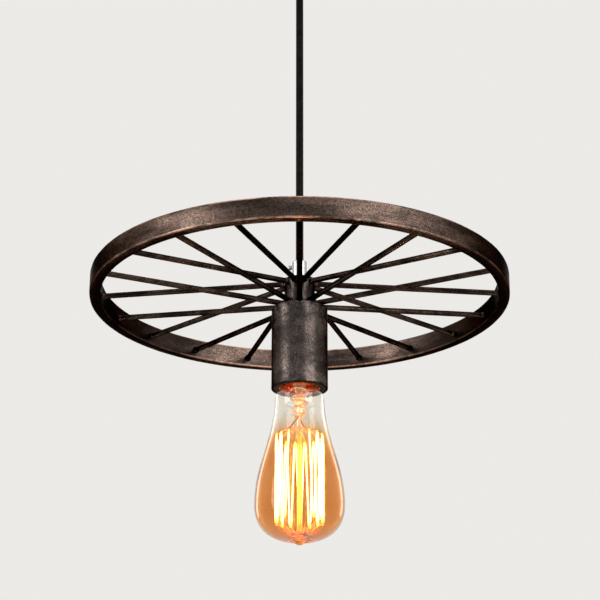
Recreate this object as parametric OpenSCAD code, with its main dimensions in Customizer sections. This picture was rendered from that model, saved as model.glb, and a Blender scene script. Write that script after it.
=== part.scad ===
// Wheel pendant lamp: a spoked iron wheel with one long bulb, hung on a single cable.
// The origin is the middle of the ceiling face and +Z is up, so everything hangs at negative z.
// The camera side of the photograph is -Y, and the first spoke points that way.

/* [Wheel] */
// Outside diameter of the wheel
rim_d = 300; // [260:5:400]
// Height of the flat iron band
rim_h = 15; // [10:1:25]
// Thickness of the flat iron band
rim_t = 8; // [4:0.5:12]
// Number of spokes
spoke_count = 20; // [12:2:20]
// Diameter of a spoke rod
spoke_d = 4; // [3:0.5:5]
// Height of a spoke's rim end below the middle of the band
spoke_drop = 1.4; // [0:0.2:3]
// Width of the weld bead where a spoke meets the hub or the rim
weld_d = 5.2; // [5:0.1:5.6]

/* [Hub] */
// Diameter of the hub
hub_d = 22; // [20:1:30]
// Height of the hub
hub_h = 22.6; // [22.4:0.2:30]
// Height of the hub's top above the middle of the band
hub_rise = 10; // [9.8:0.2:11]
// Height of the upper row of spokes above the middle of the band
upper_row = 7.4; // [5:0.2:7.4]
// Depth of the lower row of spokes below the middle of the band
lower_row = 10.2; // [7:0.2:10.2]

/* [Cable] */
// Outside diameter of the cable
cable_d = 5.6; // [5:0.1:6.4]
// Free length of cable between the two grips
cable_free = 243; // [200:1:1500]
// Diameter of one insulated core
core_d = 2.2; // [1.8:0.1:2.4]
// Distance from the cable's axis to the middle of a core
core_offset = 1.35; // [1.25:0.05:1.5]

/* [Cord grips] */
// Diameter of a cord grip
grip_d = 12.4; // [12:0.2:16]
// Height of a cord grip outside the piece it screws into
grip_h = 13.7; // [11:0.1:18]
// Length of a grip's threaded stub
stub_h = 8; // [7:0.5:9]
// Diameter of the M10 thread of the stubs and the nipple
thread_d = 10; // [9.6:0.1:10.2]
// Distance of a clamping screw from the grip's mouth
clamp_depth = 4; // [3.6:0.1:5]
// Diameter of a clamping screw's shank
clamp_d = 2.5; // [2:0.1:3]
// Diameter of a clamping screw's knob
clamp_knob_d = 3.6; // [3.2:0.1:5]
// How far a clamping screw's knob stands out
clamp_knob_h = 1.7; // [1.4:0.1:4]

/* [Ceiling canopy] */
// Diameter of the canopy
canopy_d = 100; // [90:1:140]
// Height of the canopy
canopy_h = 26; // [26:1:40]
// Thickness of the canopy's sheet
canopy_t = 1; // [0.8:0.1:1.5]
// Radius of the canopy's lower edge
canopy_edge = 6; // [3:0.5:8]
// Width of the bracket strap
strap_w = 14; // [12:1:18]
// Thickness of the bracket strap
strap_t = 2; // [1.5:0.1:2.5]
// Depth of the bracket's ears below the ceiling
ear_h = 14; // [13:0.5:16]
// Distance between the bracket's two screw slots
slot_spacing = 56; // [50:1:60]
// Width of a screw slot
slot_w = 4.5; // [4:0.1:5.5]
// Length of a screw slot from end to end
slot_l = 12; // [8:0.5:16]
// Diameter of the side screws
side_screw_d = 4; // [3:0.5:4.5]
// Depth of the side screws below the ceiling
side_screw_z = 8; // [7:0.5:9]
// Diameter of a side screw's head
side_head_d = 9; // [7:0.5:12]
// Thickness of a side screw's head
side_head_h = 4; // [3:0.5:6]

/* [Terminal block] */
// Length of the three-way terminal block
block_l = 29; // [28:0.5:34]
// Depth of the terminal block from its lamp side to its supply side
block_w = 16; // [14:0.5:18]
// Height of the terminal block
block_h = 11; // [10:0.5:13]
// Distance from the cable to the middle of the terminal block
block_y = 24; // [22:0.5:26]
// Distance between neighbouring terminals
terminal_pitch = 9.2; // [8.6:0.1:9.6]
// Bore of a brass terminal sleeve
sleeve_bore = 2.8; // [2.5:0.1:3]
// Wall of a brass terminal sleeve
sleeve_wall = 0.6; // [0.5:0.1:0.8]

/* [Socket] */
// Outside diameter of the socket cup
cup_d = 40; // [39.6:0.2:46]
// Sheet thickness of the socket cup
cup_t = 1; // [0.8:0.1:1.4]
// Radius of the cup's top edge
cup_edge = 1.5; // [1.5:0.5:4]
// Width across the flats of the M10 nuts
nut_af = 14; // [13:0.5:15]
// Thickness of the M10 nuts
nut_h = 3; // [2:0.5:3]
// Height of the lampholder's cap
holder_cap_h = 18.4; // [15:0.1:20]
// Thickness of the lampholder's ceramic insert
insert_t = 5; // [4.5:0.5:7]
// Mouth diameter of the lampholder
mouth_d = 28.2; // [28:0.1:28.8]
// Thickness of the lampholder's lip at the mouth
lip_t = 2.8; // [2:0.1:3]
// Height of the centre contact spring
spring_h = 2.7; // [2:0.1:4]

/* [Bulb] */
// Largest diameter of the glass
bulb_d = 62.4; // [58:0.1:64]
// Diameter of the glass below the flared neck
neck_d = 34.8; // [30:0.1:36]
// Length of the flare from the cap to the neck
flare_l = 11.2; // [9.8:0.1:13]
// Length from the neck to the widest place
body_l = 75.2; // [70:0.2:82]
// Length from the widest place to the bottom of the dome
dome_l = 26.2; // [24:0.1:32]
// Diameter of the sealed tip under the dome
pip_d = 7; // [5:0.5:9]
// Height of the sealed tip
pip_l = 3; // [2:0.5:5]
// Thickness of the glass
glass_t = 0.8; // [0.6:0.1:1]
// Length of the screw cap from its contact to its lower edge
cap_l = 26; // [25:0.5:28]
// Distance from the cap's lower edge down to the lampholder's mouth
cap_recess = 3.8; // [3.4:0.1:5]
// Diameter of the filament cage
cage_d = 33; // [28:0.5:36]
// Distance from the rod's lower bead to the bottom of the dome
cage_clear = 2.4; // [1.5:0.1:6]
// Distance from the cap's lower edge to the top of the cage
cage_drop = 38; // [34:0.1:40]
// Height from the lower glass bead to the bottom of the cage
hook_drop = 7; // [4:0.5:8]
// Number of bottom turns of the filament
hook_count = 13; // [8:1:16]
// Opening at the front of the cage, between its two leads, in degrees
cage_gap = 50; // [30:5:70]
// Diameter of the coiled filament
filament_d = 0.7; // [0.5:0.1:0.9]
// Diameter of the lead and hook wires
wire_d = 0.6; // [0.4:0.1:0.8]

/* [Hidden] */
$fn = 64;

// Standard screw base with 3.629 mm pitch: outside diameter of the cap's thread, its depth and pitch
base_d = 26.1;
base_depth = 1;
base_pitch = 3.629;
base_sheet = 0.4;
base_sides = 24;
base_steps = 8;

// Clearances: a sliding fit, a screw in its own thread, a weld seam and a gap between bodies that move
slide_gap = 0.3;
thread_gap = 0.05;
seam_gap = 0.05;
rest_gap = 0.3;
edge = 0.6;

// Heights below the ceiling, from the top down
canopy_floor = -canopy_h + canopy_t;
canopy_mouth = -canopy_h - grip_h;
canopy_tail_top = -canopy_h + stub_h + 3;
lamp_mouth = canopy_mouth - cable_free;
hub_top = lamp_mouth - grip_h;
wheel_z = hub_top - hub_rise;
cup_top = hub_top - hub_h;
holder_top = cup_top - cup_t - nut_h;
insert_top = holder_top - holder_cap_h;
insert_low = insert_top - insert_t;
contact_z = insert_low - spring_h - rest_gap;
cap_edge_z = contact_z - cap_l;
mouth_z = cap_edge_z - cap_recess;
neck_z = cap_edge_z - flare_l;
widest_z = neck_z - body_l;

// Radii that several pieces share
rim_ri = rim_d / 2 - rim_t;
canopy_ri = canopy_d / 2 - canopy_t;
grip_bore = cable_d / 2 + slide_gap;
stub_r = thread_d / 2 - thread_gap;
nipple_bore = grip_bore + 0.1;
tail_gap = cable_d / 2 + rest_gap;

// Hub thread: how far the nipple reaches up into the hub and down into the lampholder
nipple_up = 10;
nipple_down = 8;

// Lampholder: outside, the rim that the cap screws into, and the terminal chamber
holder_r = cup_d / 2 - cup_t - slide_gap;
holder_wall = 1.6;
holder_joint = 5;
holder_boss_r = 8;
holder_boss_h = 5;
holder_roof = 8;
chamber_r = holder_r - holder_wall - thread_gap - 2;
insert_r = holder_r - holder_wall - 0.1;
shell_r = base_d / 2 + slide_gap + base_sheet;
shell_bore_r = shell_r + 0.85;

// Terminals on the insert: distance from the axis, shank and head
post_r = 9.5;
post_d = 3;
post_head_d = 5.6;
post_head_h = 2;
post_depth = 3.4;
core_turns = [210, 90, 330];

// Terminal block: bore height above the canopy's floor, screw places and sizes
sleeve_r = sleeve_bore / 2 + sleeve_wall;
terminal_z = canopy_floor + 4.5;
terminal_screw_y = 4.2;
terminal_screw_d = 2.2;
terminal_head_d = 3.2;
terminal_well_d = 3.8;
core_reach = 5;

// Bracket ear: outer face placed so that its corners clear the round canopy
ear_x = sqrt(pow(canopy_ri - 0.4, 2) - pow(strap_w / 2, 2));

// Bulb: neck inside the cap, stem and cage
cap_neck_r = base_d / 2 - base_depth - base_sheet - 0.25;
insulator_h = 5.5;
tip_d = 9.6;
tip_h = 1.5;
stem_press_r = 3.4;
stem_press_z = neck_z - 7;
rod_r = 1.3;
cage_top = cap_edge_z - cage_drop;
hook_rise = 4;
bead_r = 2.2;
cage_low = widest_z - dome_l + glass_t + cage_clear + bead_r + hook_drop;
dome_power = 2.5;

spokes = [for (i = [1 : spoke_count]) str("spoke_", i < 10 ? "0" : "", i)];

// A point on a smooth curve with two end points and two handles
function bezier(p, t) =
    pow(1 - t, 3) * p[0] + 3 * t * pow(1 - t, 2) * p[1] + 3 * t * t * (1 - t) * p[2] + pow(t, 3) * p[3];
function unit(v) = v / norm(v);
// A point at a distance, a direction and a height
function polar(r, a, z) = [r * cos(a), r * sin(a), z];
// Half a cosine wave, from 0 to 1
function ease(t) = (1 - cos(180 * t)) / 2;
// Direction of the filament's k-th bend, round from the right of the opening at the front to its left
function turn_of(k) = (cage_gap - 180) / 2 + (360 - cage_gap) * k / (2 * hook_count);

// Points along that curve
function curve(handles, steps) = [for (i = [0 : steps]) bezier(handles, i / steps)];

// A wire through the points; across is a direction that the wire never runs along, or one for each point
module wire(points, d, across, sides = 8) {
    last = len(points) - 1;
    rings = [for (i = [0 : last])
        let (
            heading = unit(points[min(i + 1, last)] - points[max(i - 1, 0)]),
            n = unit(cross(is_list(across[0]) ? across[i] : across, heading)),
            b = cross(heading, n)
        )
        for (j = [0 : sides - 1])
            points[i] + d / 2 * (cos(360 * j / sides) * n + sin(360 * j / sides) * b)];
    walls = [for (i = [0 : last - 1]) for (j = [0 : sides - 1])
        let (k = (j + 1) % sides)
        [i * sides + j, (i + 1) * sides + j, (i + 1) * sides + k, i * sides + k]];
    start = [for (j = [0 : sides - 1]) j];
    end = [for (j = [sides - 1 : -1 : 0]) last * sides + j];
    polyhedron(points = rings, faces = concat([start], walls, [end]));
}

// A straight round rod between two points
module rod(a, b, d) {
    run = b - a;
    translate(a)
        rotate([0, acos(run[2] / norm(run)), atan2(run[1], run[0])])
            cylinder(d = d, h = norm(run), $fn = 16);
}

// A hexagon nut whose lower face is at z = 0
module nut(bore_r) {
    difference() {
        cylinder(r = nut_af / sqrt(3), h = nut_h, $fn = 6);
        translate([0, 0, -1])
            cylinder(r = bore_r, h = nut_h + 2);
    }
}

// A ring between two radii whose axis is Z
module ring(r_out, r_in, h) {
    difference() {
        cylinder(r = r_out, h = h);
        translate([0, 0, -1])
            cylinder(r = r_in, h = h + 2);
    }
}

// The ceiling bracket: a strap with two screw slots and two bent ears
module ceiling_bracket() {
    color("lightslategray")
        difference() {
            union() {
                translate([-ear_x, -strap_w / 2, -strap_t])
                    cube([2 * ear_x, strap_w, strap_t]);
                for (side = [-1, 1])
                    translate([side * (ear_x - strap_t / 2) - strap_t / 2, -strap_w / 2, -ear_h])
                        cube([strap_t, strap_w, ear_h - strap_t / 2]);
            }
            for (side = [-1, 1]) {
                translate([side * slot_spacing / 2, 0, 0])
                    strap_slot();
                translate([side * ear_x, 0, -side_screw_z])
                    rotate([0, 90, 0])
                        cylinder(d = side_screw_d + 2 * thread_gap, h = 3 * strap_t, center = true);
            }
        }
}

module strap_slot() {
    translate([-(slot_l - slot_w) / 2, -slot_w / 2, -2 * strap_t])
        cube([slot_l - slot_w, slot_w, 3 * strap_t]);
    for (end = [-1, 1])
        translate([end * (slot_l - slot_w) / 2, 0, -2 * strap_t])
            cylinder(d = slot_w, h = 3 * strap_t);
}

// The outline of half a bowl with its floor on the X axis and a rounded lower corner
module bowl_outline(r, depth, round) {
    square([r - round, depth]);
    translate([0, round])
        square([r, depth - round]);
    translate([r - round, round])
        circle(r = round);
}

// A round sheet bowl that opens upwards, with its floor at z = 0
module bowl(r, depth, round, wall) {
    rotate_extrude()
        difference() {
            bowl_outline(r, depth, round);
            translate([0, wall])
                bowl_outline(r - wall, depth, round - wall);
        }
}

// The canopy: a shallow round bowl whose open side is on the ceiling
module canopy() {
    notch_w = side_screw_d + 2 * slide_gap;
    color("#3a2f28")
        difference() {
            translate([0, 0, -canopy_h])
                bowl(canopy_d / 2, canopy_h, canopy_edge, canopy_t);
            translate([0, 0, -canopy_h - 1])
                cylinder(r = stub_r + slide_gap, h = canopy_t + 2);
            for (side = [-1, 1])
                translate([side * canopy_d / 2, 0, -side_screw_z])
                    canopy_notch(notch_w);
        }
}

// A notch with a round bottom that is open at the canopy's top edge
module canopy_notch(w) {
    rotate([0, 90, 0])
        cylinder(d = w, h = 6 * canopy_t, center = true);
    translate([-3 * canopy_t, -w / 2, 0])
        cube([6 * canopy_t, w, 2 * side_screw_z]);
}

// A knurled side screw, its head outside the canopy; side is 1 at +X and -1 at -X
module canopy_screw(side) {
    head_x = canopy_d / 2 + slide_gap;
    color("silver")
        translate([0, 0, -side_screw_z])
            rotate([0, side * 90, 0]) {
                translate([0, 0, ear_x - strap_t - 3])
                    cylinder(d = side_screw_d, h = head_x - ear_x + strap_t + 4);
                translate([0, 0, head_x])
                    knurled_head(side_head_d, side_head_h);
            }
}

module knurled_head(d, h) {
    grooves = 16;
    difference() {
        union() {
            cylinder(d = d, h = h - edge);
            translate([0, 0, h - edge])
                cylinder(d1 = d, d2 = d - 2 * edge, h = edge);
        }
        for (i = [1 : grooves])
            rotate([0, 0, 360 * i / grooves])
                translate([d / 2, 0, -1])
                    cylinder(d = d / 12, h = h + 2, $fn = 16);
    }
}

// The plastic terminal block that lies on the canopy's floor
module terminal_block() {
    color("ivory")
        difference() {
            translate([-block_l / 2, block_y - block_w / 2, canopy_floor])
                cube([block_l, block_w, block_h]);
            for (k = [-1 : 1])
                translate([k * terminal_pitch, block_y, 0]) {
                    translate([0, 0, terminal_z])
                        rotate([90, 0, 0])
                            cylinder(r = sleeve_r + seam_gap, h = 2 * block_w, center = true);
                    for (row = [-1, 1])
                        translate([0, row * terminal_screw_y, terminal_z])
                            cylinder(d = terminal_well_d, h = block_h);
                }
            for (k = [-1, 1])
                translate([k * terminal_pitch / 2, block_y, canopy_floor - 1])
                    cylinder(d = slot_w / 2, h = block_h + 2);
            for (k = [-1, 1])
                translate([k * terminal_pitch / 2, block_y, canopy_floor + block_h])
                    cube([1, 2 * block_w, 3], center = true);
        }
}

// Three brass sleeves, each tapped for two screws
module terminal_sleeves() {
    color("gold")
        for (k = [-1 : 1])
            translate([k * terminal_pitch, block_y, terminal_z])
                difference() {
                    rotate([90, 0, 0])
                        difference() {
                            cylinder(r = sleeve_r, h = block_w - 1, center = true);
                            cylinder(d = sleeve_bore, h = block_w, center = true);
                        }
                    for (row = [-1, 1])
                        translate([0, row * terminal_screw_y, 0])
                            cylinder(d = terminal_screw_d + 2 * thread_gap, h = 2 * sleeve_r);
                }
}

// Six terminal screws standing in the block's wells, over the sleeves
module terminal_screws() {
    shank = block_h / 3;
    color("silver")
        for (k = [-1 : 1]) for (row = [-1, 1])
            translate([k * terminal_pitch, block_y + row * terminal_screw_y, terminal_z + core_d / 2 + 0.1])
                slotted_screw(terminal_screw_d, shank, terminal_head_d, 1.6);
}

// A screw that stands on z = 0 with its head at the top and a screwdriver slot
module slotted_screw(shank_d, shank, head_d, head) {
    cylinder(d = shank_d, h = shank);
    translate([0, 0, shank])
        difference() {
            cylinder(d = head_d, h = head);
            translate([0, 0, head])
                cube([2 * head_d, head_d / 6, head], center = true);
        }
}

// One insulated core from the cable's end into the lamp side of the terminal block
module supply_core(index) {
    start = polar(core_offset, core_turns[index], canopy_tail_top + rest_gap);
    bend = start + [0, 0, 1.5];
    mouth = [(index - 1) * terminal_pitch, block_y - block_w / 2 - 1, terminal_z];
    route = curve([bend, bend + [0, 0, 6], mouth - [0, 7, 0], mouth], 10);
    wire(concat([start], route, [mouth + [0, core_reach + 1, 0]]), core_d, [1, 0, 0]);
}

module supply_core_live() { color("saddlebrown") supply_core(0); }

module supply_core_neutral() { color("steelblue") supply_core(1); }

module supply_core_earth() { color("yellowgreen") supply_core(2); }

// A cord grip that stands on z = 0, mouth up, with its threaded stub below
module cord_grip() {
    difference() {
        union() {
            translate([0, 0, -stub_h])
                cylinder(r = stub_r, h = stub_h + 1);
            cylinder(d = grip_d, h = grip_h - 2 * edge);
            translate([0, 0, grip_h - 2 * edge])
                cylinder(d1 = grip_d, d2 = grip_d - 3 * edge, h = 2 * edge);
        }
        translate([0, 0, -stub_h - 1])
            cylinder(r = grip_bore, h = stub_h + grip_h + 2);
        translate([0, 0, grip_h - clamp_depth])
            rotate([0, -90, 0])
                cylinder(d = clamp_d + 2 * thread_gap, h = grip_d);
    }
}

// A grip's clamping screw on the same frame as the grip, at its -X side
module clamp_screw() {
    tip = cable_d / 2 + seam_gap;
    knob = grip_d / 2 + 0.1;
    translate([0, 0, grip_h - clamp_depth])
        rotate([0, -90, 0]) {
            translate([0, 0, tip])
                cylinder(d = clamp_d, h = knob - tip);
            translate([0, 0, knob])
                difference() {
                    union() {
                        cylinder(d = clamp_knob_d, h = clamp_knob_h - edge);
                        translate([0, 0, clamp_knob_h - edge])
                            cylinder(d1 = clamp_knob_d, d2 = clamp_knob_d - edge, h = edge);
                    }
                    translate([0, 0, clamp_knob_h])
                        cube([clamp_knob_d / 6, 2 * clamp_knob_d, clamp_knob_h], center = true);
                }
        }
}

// The grip under the canopy hangs mouth down
module at_canopy_grip() {
    translate([0, 0, -canopy_h])
        rotate([180, 0, 180])
            children();
}

module at_lamp_grip() {
    translate([0, 0, hub_top])
        children();
}

module canopy_grip() { color("gainsboro") at_canopy_grip() cord_grip(); }

module canopy_grip_screw() { color("gainsboro") at_canopy_grip() clamp_screw(); }

module lamp_grip() { color("gainsboro") at_lamp_grip() cord_grip(); }

module lamp_grip_screw() { color("gainsboro") at_lamp_grip() clamp_screw(); }

module canopy_grip_nut() {
    color("silver")
        translate([0, 0, canopy_floor])
            nut(stub_r + thread_gap);
}

// The cable's upper end, clamped in the canopy grip
module canopy_cable_end() {
    color("#151515")
        translate([0, 0, canopy_mouth + tail_gap])
            cylinder(d = cable_d, h = canopy_tail_top - canopy_mouth - tail_gap);
}

// The free cable; its round ends let it swing in the mouths of the two grips
module cable() {
    color("#151515")
        union() {
            translate([0, 0, lamp_mouth])
                cylinder(d = cable_d, h = cable_free);
            translate([0, 0, lamp_mouth])
                sphere(d = cable_d);
            translate([0, 0, canopy_mouth])
                sphere(d = cable_d);
        }
}

// The cable's lower end, clamped in the lamp grip and led into the lampholder
module lamp_cable_end() {
    low = holder_top - holder_roof - 1;
    color("#151515")
        translate([0, 0, low])
            cylinder(d = cable_d, h = lamp_mouth - tail_gap - low);
}

// The hub that carries both rows of spokes
module hub() {
    color("#3a2f28")
        translate([0, 0, cup_top])
            difference() {
                union() {
                    cylinder(d = hub_d, h = hub_h - edge);
                    translate([0, 0, hub_h - edge])
                        cylinder(d1 = hub_d, d2 = hub_d - 2 * edge, h = edge);
                }
                translate([0, 0, -1])
                    cylinder(d = thread_d, h = hub_h + 2);
            }
}

// The flat iron band with eased edges
module rim() {
    half = rim_h / 2;
    color("#3a2f28")
        translate([0, 0, wheel_z])
            rotate_extrude($fn = 180)
                translate([rim_ri, 0])
                    polygon([
                        [edge, -half], [rim_t - edge, -half], [rim_t, edge - half], [rim_t, half - edge],
                        [rim_t - edge, half], [edge, half], [0, half - edge], [0, edge - half]
                    ]);
}

// One spoke: odd numbers join the hub's lower row and even numbers its upper row
module spoke(number) {
    row = number % 2 == 1 ? -lower_row : upper_row;
    drop = row + spoke_drop;
    slope = atan2(drop, rim_ri);
    color("#3a2f28")
        translate([0, 0, wheel_z])
            rotate([0, 0, 360 * (number - 1) / spoke_count - 90])
                difference() {
                    intersection() {
                        translate([0, 0, row])
                            rotate([0, 90 + slope, 0])
                                spoke_rod(norm([rim_ri, drop]));
                        cylinder(r = rim_ri - seam_gap, h = rim_h + 2 * hub_h, center = true);
                    }
                    cylinder(d = hub_d + 2 * seam_gap, h = rim_h + 2 * hub_h, center = true);
                }
}

// A rod along +Z with a weld bead at both ends
module spoke_rod(l) {
    bead = 1.6;
    cylinder(d = spoke_d, h = l + spoke_d, $fn = 32);
    cylinder(d = weld_d, h = hub_d / 2 + 0.6, $fn = 32);
    translate([0, 0, hub_d / 2 + 0.6])
        cylinder(d1 = weld_d, d2 = spoke_d, h = bead, $fn = 32);
    translate([0, 0, l - 0.6 - bead])
        cylinder(d1 = spoke_d, d2 = weld_d, h = bead, $fn = 32);
    translate([0, 0, l - 0.6])
        cylinder(d = weld_d, h = spoke_d, $fn = 32);
}

// The metal cup round the lampholder, open at the bottom
module socket_cup() {
    color("#3a2f28")
        difference() {
            translate([0, 0, cup_top])
                mirror([0, 0, 1])
                    bowl(cup_d / 2, cup_top - mouth_z, cup_edge, cup_t);
            translate([0, 0, cup_top - cup_t - 1])
                cylinder(d = thread_d, h = cup_t + 2);
        }
}

// The threaded tube that clamps hub, cup and lampholder together
module nipple() {
    color("gold")
        translate([0, 0, holder_top - nipple_down])
            ring(stub_r, nipple_bore, cup_top + nipple_up - holder_top + nipple_down);
}

module cup_nut() {
    color("silver")
        translate([0, 0, holder_top])
            nut(stub_r + thread_gap);
}

// The upper half of the lampholder, with the terminal chamber inside
module lampholder_cap() {
    joint_r = holder_r - holder_wall;
    shoulder = holder_boss_h + (joint_r - holder_boss_r) / 2;
    color("#1c1a19")
        translate([0, 0, holder_top])
            rotate_extrude()
                polygon([
                    [thread_d / 2, 0], [holder_boss_r, 0], [holder_boss_r, -holder_boss_h],
                    [joint_r, -shoulder], [joint_r, -holder_cap_h],
                    [chamber_r, -holder_cap_h], [chamber_r, -shoulder], [chamber_r - 2, -holder_roof],
                    [thread_d / 2, -holder_roof]
                ]);
}

// The ceramic insert that carries the contacts
module lampholder_insert() {
    color("white")
        difference() {
            translate([0, 0, insert_low])
                cylinder(r = insert_r, h = insert_t);
            for (turn = core_turns)
                translate(polar(post_r, turn, insert_top - post_depth - 0.1))
                    cylinder(d = post_d + 2 * thread_gap, h = post_depth + 1);
        }
}

// The lower half of the lampholder: it screws over the cap and ends flush with the cup's mouth
module lampholder_skirt() {
    joint_r = holder_r - holder_wall + thread_gap;
    top = insert_top + holder_joint;
    mouth_r = mouth_d / 2;
    color("#1c1a19")
        rotate_extrude()
            polygon([
                [joint_r, top], [holder_r - edge, top], [holder_r, top - edge], [holder_r, mouth_z + edge],
                [holder_r - edge, mouth_z], [mouth_r + edge, mouth_z], [mouth_r, mouth_z + edge],
                [mouth_r, mouth_z + lip_t], [shell_bore_r, mouth_z + lip_t], [shell_bore_r, insert_low],
                [joint_r, insert_low]
            ]);
}

// Radius of a rolled right-handed thread whose crests have the radius r
function thread_r(r, turn, z) = r - base_depth / 2 * (1 - cos(turn - 360 * z / base_pitch));

// A sheet tube rolled into the shape of a screw thread, between two heights
module rolled_thread(r_out, sheet, low, high) {
    rings = round((high - low) / base_pitch * base_steps);
    layer = base_sides * (rings + 1);
    points = [for (inset = [0, sheet]) for (k = [0 : rings]) for (j = [0 : base_sides - 1])
        let (turn = 360 * j / base_sides, z = low + (high - low) * k / rings)
        polar(thread_r(r_out, turn, z) - inset, turn, z)];
    outside = [for (k = [0 : rings - 1]) for (j = [0 : base_sides - 1])
        let (a = k * base_sides + j, b = k * base_sides + (j + 1) % base_sides)
        each [[a, a + base_sides, b + base_sides], [a, b + base_sides, b]]];
    inside = [for (face = outside) [face[2] + layer, face[1] + layer, face[0] + layer]];
    edges = [for (j = [0 : base_sides - 1])
        let (a = j, b = (j + 1) % base_sides, top = rings * base_sides)
        each [[a, b, b + layer, a + layer],
            [a + top, a + top + layer, b + top + layer, b + top]]];
    polyhedron(points = points, faces = concat(outside, inside, edges));
}

// The brass shell that the bulb screws into
module lampholder_shell() {
    color("darkgoldenrod")
        rolled_thread(shell_r, base_sheet, mouth_z + lip_t, insert_low);
}

// The sprung centre contact: a bent strip under the insert
module lampholder_contact() {
    sheet = 0.5;
    reach = 7;
    tongue = -spring_h + sheet;
    color("gold")
        translate([0, 2.5, insert_low])
            rotate([90, 0, 0])
                linear_extrude(height = 5)
                    polygon([
                        [-reach, 0], [-reach, -sheet], [-reach + 3, -sheet], [-2, tongue - sheet],
                        [3, tongue - sheet], [5, tongue - sheet / 2], [5, tongue + sheet / 2], [3, tongue],
                        [-2 + sheet / 2, tongue], [-reach + 3 + sheet, 0]
                    ]);
}

// The three terminal screws of the lampholder
module lampholder_screws() {
    color("silver")
        for (turn = core_turns)
            translate(polar(post_r, turn, insert_top - post_depth))
                rotate([0, 0, turn])
                    slotted_screw(post_d, post_depth, post_head_d, post_head_h);
}

// One insulated core from the cable's lower end to its terminal screw
module lamp_core(index) {
    turn = core_turns[index];
    rise = core_d / 2 + seam_gap;
    start = polar(core_offset, turn, holder_top - holder_roof - 1);
    bend = start - [0, 0, 0.8];
    stop = polar(post_r - post_head_d / 2 - 0.2, turn, insert_top + rise);
    route = curve([bend, bend - [0, 0, 3], stop - polar(3, turn, 0), stop - polar(0.6, turn, 0)], 8);
    wire(concat([start], route, [stop]), core_d, polar(1, turn + 90, 0));
}

module lamp_core_live() { color("saddlebrown") lamp_core(0); }

module lamp_core_neutral() { color("steelblue") lamp_core(1); }

module lamp_core_earth() { color("yellowgreen") lamp_core(2); }

// The bulb's rolled screw cap
module bulb_cap() {
    color("gold")
        rolled_thread(base_d / 2, base_sheet, cap_edge_z, contact_z - insulator_h);
}

// The black glass insulator between the cap and the centre contact
module bulb_insulator() {
    rest_r = base_d / 2 - base_depth;
    plug_r = base_d / 2 - base_depth - base_sheet - 0.1;
    color("#141414")
        translate([0, 0, contact_z])
            rotate_extrude()
                polygon([
                    [1, -tip_h], [tip_d / 2 + edge, -tip_h], [rest_r, 1 - insulator_h], [rest_r, -insulator_h],
                    [plug_r, -insulator_h], [plug_r, -insulator_h - 1], [1, -insulator_h - 1]
                ]);
}

// The solder contact at the top of the bulb
module bulb_contact() {
    color("silver")
        translate([0, 0, contact_z - tip_h])
            union() {
                cylinder(d = tip_d, h = tip_h - edge);
                translate([0, 0, tip_h - edge])
                    cylinder(d1 = tip_d, d2 = tip_d - 2 * edge, h = edge);
            }
}

// The outline of the glass, inset by a wall: neck in the cap, flare, long body and round dome
function glass_outline(inset) =
    let (
        r0 = cap_neck_r - inset,
        r1 = neck_d / 2 - inset,
        r2 = bulb_d / 2 - inset,
        dome = dome_l - inset
    )
    concat(
        [[r0, cap_edge_z + 6]],
        [for (i = [0 : 8]) [r0 + (r1 - r0) * ease(i / 8), cap_edge_z + 0.4 - (flare_l + 0.4) * i / 8]],
        [for (i = [1 : 16]) [r1 + (r2 - r1) * ease(i / 16), neck_z - body_l * i / 16]],
        [for (i = [1 : 16])
            let (a = 90 * i / 16)
            [r2 * pow(cos(a), 2 / dome_power), widest_z - dome * pow(sin(a), 2 / dome_power)]]
    );

// The same outline outside, with the solid tip where the glass was sealed
function tipped_outline() =
    let (
        dome = [for (point = glass_outline(0)) if (point[0] > pip_d / 2 + edge) point],
        top = widest_z - dome_l
    )
    concat(
        dome,
        [for (i = [0 : 6]) [pip_d / 2 * cos(15 * i), top - pip_l * sin(15 * i)]]
    );

// The clear amber glass, one thin wall all round
module bulb_glass() {
    inside = glass_outline(glass_t);
    color([0.85, 0.55, 0.25, 0.35])
        rotate_extrude()
            polygon(concat(tipped_outline(), [for (i = [len(inside) - 1 : -1 : 0]) inside[i]]));
}

// The glass stem, its press and the long rod that carries the cage
module bulb_stem() {
    flare_r = cap_neck_r - glass_t - 0.2;
    flare_z = cap_edge_z + 5;
    color("khaki")
        rotate_extrude($fn = 32)
            polygon([
                [0, flare_z], [flare_r, flare_z], [flare_r, flare_z - 0.8], [5, flare_z - 6],
                [stem_press_r, cap_edge_z - flare_l / 2], [stem_press_r, stem_press_z],
                [rod_r, stem_press_z], [rod_r, cage_top + hook_rise + bead_r],
                [bead_r, cage_top + hook_rise + 1], [bead_r, cage_top + hook_rise - 1],
                [rod_r, cage_top + hook_rise - bead_r], [rod_r, cage_low - hook_drop + bead_r],
                [bead_r, cage_low - hook_drop + 1], [bead_r, cage_low - hook_drop - 1],
                [0, cage_low - hook_drop - bead_r]
            ]);
}

// Four lead wires: two up into the cap and two down to the ends of the filament
module bulb_leads() {
    flare_z = cap_edge_z + 5;
    wall = cap_neck_r - glass_t - 1;
    to_cap = [for (handle = [[-3, 0.6], [-3, 4], [-wall, 2], [-wall, 7]]) [handle[0], 0, flare_z + handle[1]]];
    color("silver") {
        translate([0, 0, flare_z])
            cylinder(d = wire_d, h = contact_z - tip_h - rest_gap - flare_z, $fn = 16);
        wire(concat([[-3, 0, flare_z]], curve(to_cap, 8)), wire_d, [0, 1, 0]);
        for (k = [0, 2 * hook_count])
            lead(polar(1, turn_of(k), 0));
    }
}

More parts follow.
